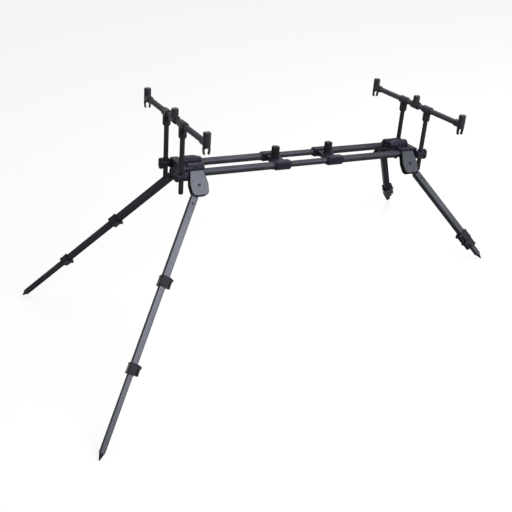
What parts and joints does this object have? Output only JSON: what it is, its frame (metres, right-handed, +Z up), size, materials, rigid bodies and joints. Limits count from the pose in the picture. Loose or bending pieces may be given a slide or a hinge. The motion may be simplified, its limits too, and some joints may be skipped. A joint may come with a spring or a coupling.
{
  "type": "rod pod",
  "caption": "Rod pod with a telescoping two-beam chassis on folding telescopic legs with spikes, carrying a height-adjustable buzz bar with tapped alarm posts at each end.",
  "frame": {"origin": "middle of the footprint's bounding box, on the ground at the tips of the spikes", "axes": "+X along the chassis from the raised front end to the low rear end, +Z up, +Y to the right-hand side seen from the rear"},
  "size_m": [1.1594, 0.7814, 0.5713],
  "materials": {
    "anodised_tube": "gunmetal anodised, satin",
    "bracket_metal": "gunmetal anodised, satin",
    "black_coated_tube": "black coated, semi-matt",
    "black_coated_steel": "black oxide",
    "black_plastic": "fine moulded grain",
    "soft_black_plastic": "matt",
    "dull_steel": "turned, dull"
  },
  "bodies": {
    "front_frame": {"front_head": "black_plastic", "front_brackets": "bracket_metal", "front_bolts": "black_coated_steel", "front_beam_tubes": "anodised_tube", "front_block": "black_plastic"},
    "inner_beams": {"inner_beam_tubes": "anodised_tube"},
    "rear_frame": {"rear_head": "black_plastic", "rear_brackets": "bracket_metal", "rear_bolts": "black_coated_steel", "rear_beam_tubes": "anodised_tube", "rear_block": "black_plastic"},
    "front_bar": {"front_bar_tube": "black_coated_tube", "front_bar_tees": "black_plastic", "front_bar_uprights": "black_coated_tube", "front_alarm_posts": "black_plastic", "front_inserts": "dull_steel"},
    "front_block_knob": {"front_block_knob": "soft_black_plastic"},
    "front_left_clamp_knob": {"front_left_clamp_knob": "soft_black_plastic"},
    "front_right_clamp_knob": {"front_right_clamp_knob": "soft_black_plastic"},
    "rear_bar": {"rear_bar_tube": "black_coated_tube", "rear_bar_tees": "black_plastic", "rear_bar_uprights": "black_coated_tube", "rear_alarm_posts": "black_plastic", "rear_inserts": "dull_steel"},
    "rear_block_knob": {"rear_block_knob": "soft_black_plastic"},
    "rear_left_clamp_knob": {"rear_left_clamp_knob": "soft_black_plastic"},
    "rear_right_clamp_knob": {"rear_right_clamp_knob": "soft_black_plastic"},
    "front_left_leg": {"front_left_fittings": "black_plastic", "front_left_outer_tube": "anodised_tube"},
    "front_left_middle": {"front_left_middle_tube": "anodised_tube", "front_left_lower_lock": "black_plastic"},
    "front_left_inner": {"front_left_inner_tube": "anodised_tube", "front_left_spike": "black_coated_steel"},
    "front_left_upper_lever": {"front_left_upper_lever": "soft_black_plastic"},
    "front_left_lower_lever": {"front_left_lower_lever": "soft_black_plastic"},
    "front_right_leg": {"front_right_fittings": "black_plastic", "front_right_outer_tube": "anodised_tube"},
    "front_right_middle": {"front_right_middle_tube": "anodised_tube", "front_right_lower_lock": "black_plastic"},
    "front_right_inner": {"front_right_inner_tube": "anodised_tube", "front_right_spike": "black_coated_steel"},
    "front_right_upper_lever": {"front_right_upper_lever": "soft_black_plastic"},
    "front_right_lower_lever": {"front_right_lower_lever": "soft_black_plastic"},
    "rear_left_leg": {"rear_left_fittings": "black_plastic", "rear_left_outer_tube": "anodised_tube"},
    "rear_left_middle": {"rear_left_middle_tube": "anodised_tube", "rear_left_lower_lock": "black_plastic"},
    "rear_left_inner": {"rear_left_inner_tube": "anodised_tube", "rear_left_spike": "black_coated_steel"},
    "rear_left_upper_lever": {"rear_left_upper_lever": "soft_black_plastic"},
    "rear_left_lower_lever": {"rear_left_lower_lever": "soft_black_plastic"},
    "rear_right_leg": {"rear_right_fittings": "black_plastic", "rear_right_outer_tube": "anodised_tube"},
    "rear_right_middle": {"rear_right_middle_tube": "anodised_tube", "rear_right_lower_lock": "black_plastic"},
    "rear_right_inner": {"rear_right_inner_tube": "anodised_tube", "rear_right_spike": "black_coated_steel"},
    "rear_right_upper_lever": {"rear_right_upper_lever": "soft_black_plastic"},
    "rear_right_lower_lever": {"rear_right_lower_lever": "soft_black_plastic"}
  },
  "joints": [
    {"name": "inner_beams_slide", "type": "slide", "parent": "front_frame", "child": "inner_beams", "axis": [0.9792, 0, -0.2031], "range_m": [-0.045, 0.08]},
    {"name": "rear_frame_slide", "type": "slide", "parent": "inner_beams", "child": "rear_frame", "axis": [0.9792, 0, -0.2031], "range_m": [-0.045, 0.08]},
    {"name": "front_bar_height", "type": "slide", "parent": "front_frame", "child": "front_bar", "axis": [0.2031, 0, 0.9792], "range_m": [-0.078, 0.025]},
    {"name": "front_block_knob_turn", "type": "hinge", "parent": "front_frame", "child": "front_block_knob", "pos_m": [0.08884, 0, 0.36508], "axis": [0.2031, 0, 0.9792], "range_deg": [0, 270]},
    {"name": "front_left_clamp_knob_turn", "type": "hinge", "parent": "front_frame", "child": "front_left_clamp_knob", "pos_m": [-0.18259, -0.0525, 0.42037], "axis": [-0.9792, 0, 0.2031], "range_deg": [0, 270]},
    {"name": "front_right_clamp_knob_turn", "type": "hinge", "parent": "front_frame", "child": "front_right_clamp_knob", "pos_m": [-0.18259, 0.0525, 0.42037], "axis": [-0.9792, 0, 0.2031], "range_deg": [0, 270]},
    {"name": "rear_bar_height", "type": "slide", "parent": "rear_frame", "child": "rear_bar", "axis": [0.2031, 0, 0.9792], "range_m": [-0.0745, 0.0285]},
    {"name": "rear_block_knob_turn", "type": "hinge", "parent": "rear_frame", "child": "rear_block_knob", "pos_m": [0.24257, 0, 0.33319], "axis": [0.2031, 0, 0.9792], "range_deg": [0, 270]},
    {"name": "rear_left_clamp_knob_turn", "type": "hinge", "parent": "rear_frame", "child": "rear_left_clamp_knob", "pos_m": [0.50282, -0.0525, 0.27819], "axis": [0.9792, 0, -0.2031], "range_deg": [0, 270]},
    {"name": "rear_right_clamp_knob_turn", "type": "hinge", "parent": "rear_frame", "child": "rear_right_clamp_knob", "pos_m": [0.50282, 0.0525, 0.27819], "axis": [0.9792, 0, -0.2031], "range_deg": [0, 270]},
    {"name": "front_left_leg_fold", "type": "hinge", "parent": "front_frame", "child": "front_left_leg", "pos_m": [-0.14701, -0.0615, 0.39001], "axis": [0.1165, -0.8192, 0.5616], "range_deg": [0, 105]},
    {"name": "front_left_middle_slide", "type": "slide", "parent": "front_left_leg", "child": "front_left_middle", "axis": [0.6469, 0.4917, 0.5829], "range_m": [0, 0.185]},
    {"name": "front_left_inner_slide", "type": "slide", "parent": "front_left_middle", "child": "front_left_inner", "axis": [0.6469, 0.4917, 0.5829], "range_m": [0, 0.1495]},
    {"name": "front_left_upper_lever_turn", "type": "hinge", "parent": "front_left_leg", "child": "front_left_upper_lever", "pos_m": [-0.29329, -0.186, 0.23876], "axis": [-0.1165, 0.8192, -0.5616], "range_deg": [-100, 0]},
    {"name": "front_left_lower_lever_turn", "type": "hinge", "parent": "front_left_middle", "child": "front_left_lower_lever", "pos_m": [-0.43066, -0.2894, 0.11645], "axis": [-0.1165, 0.8192, -0.5616], "range_deg": [-100, 0]},
    {"name": "front_right_leg_fold", "type": "hinge", "parent": "front_frame", "child": "front_right_leg", "pos_m": [-0.14701, 0.0615, 0.39001], "axis": [-0.1165, -0.8192, -0.5616], "range_deg": [0, 105]},
    {"name": "front_right_middle_slide", "type": "slide", "parent": "front_right_leg", "child": "front_right_middle", "axis": [0.6469, -0.4917, 0.5829], "range_m": [0, 0.185]},
    {"name": "front_right_inner_slide", "type": "slide", "parent": "front_right_middle", "child": "front_right_inner", "axis": [0.6469, -0.4917, 0.5829], "range_m": [0, 0.1495]},
    {"name": "front_right_upper_lever_turn", "type": "hinge", "parent": "front_right_leg", "child": "front_right_upper_lever", "pos_m": [-0.29329, 0.186, 0.23876], "axis": [0.1165, 0.8192, 0.5616], "range_deg": [-100, 0]},
    {"name": "front_right_lower_lever_turn", "type": "hinge", "parent": "front_right_middle", "child": "front_right_lower_lever", "pos_m": [-0.43066, 0.2894, 0.11645], "axis": [0.1165, 0.8192, 0.5616], "range_deg": [-100, 0]},
    {"name": "rear_left_leg_fold", "type": "hinge", "parent": "rear_frame", "child": "rear_left_leg", "pos_m": [0.4581, -0.0615, 0.26449], "axis": [-0.1165, 0.8192, -0.5616], "range_deg": [0, 119]},
    {"name": "rear_left_middle_slide", "type": "slide", "parent": "rear_left_leg", "child": "rear_left_middle", "axis": [-0.3617, 0.4917, 0.7921], "range_m": [-0.185, 0]},
    {"name": "rear_left_inner_slide", "type": "slide", "parent": "rear_left_middle", "child": "rear_left_inner", "axis": [-0.3617, 0.4917, 0.7921], "range_m": [-0.1495, 0]},
    {"name": "rear_left_upper_lever_turn", "type": "hinge", "parent": "rear_left_leg", "child": "rear_left_upper_lever", "pos_m": [0.53216, -0.186, 0.06754], "axis": [0.1165, -0.8192, 0.5616], "range_deg": [-100, 0]},
    {"name": "rear_left_lower_lever_turn", "type": "hinge", "parent": "rear_left_middle", "child": "rear_left_lower_lever", "pos_m": [0.54262, -0.19844, 0.04722], "axis": [0.1165, -0.8192, 0.5616], "range_deg": [-100, 0]},
    {"name": "rear_right_leg_fold", "type": "hinge", "parent": "rear_frame", "child": "rear_right_leg", "pos_m": [0.4581, 0.0615, 0.26449], "axis": [0.1165, 0.8192, 0.5616], "range_deg": [0, 119]},
    {"name": "rear_right_middle_slide", "type": "slide", "parent": "rear_right_leg", "child": "rear_right_middle", "axis": [-0.3617, -0.4917, 0.7921], "range_m": [-0.185, 0]},
    {"name": "rear_right_inner_slide", "type": "slide", "parent": "rear_right_middle", "child": "rear_right_inner", "axis": [-0.3617, -0.4917, 0.7921], "range_m": [-0.1495, 0]},
    {"name": "rear_right_upper_lever_turn", "type": "hinge", "parent": "rear_right_leg", "child": "rear_right_upper_lever", "pos_m": [0.56055, 0.17693, 0.07488], "axis": [0.1165, 0.8192, 0.5616], "range_deg": [-100, 0]},
    {"name": "rear_right_lower_lever_turn", "type": "hinge", "parent": "rear_right_middle", "child": "rear_right_lower_lever", "pos_m": [0.56889, 0.19005, 0.05401], "axis": [0.1165, 0.8192, 0.5616], "range_deg": [-100, 0]}
  ]
}
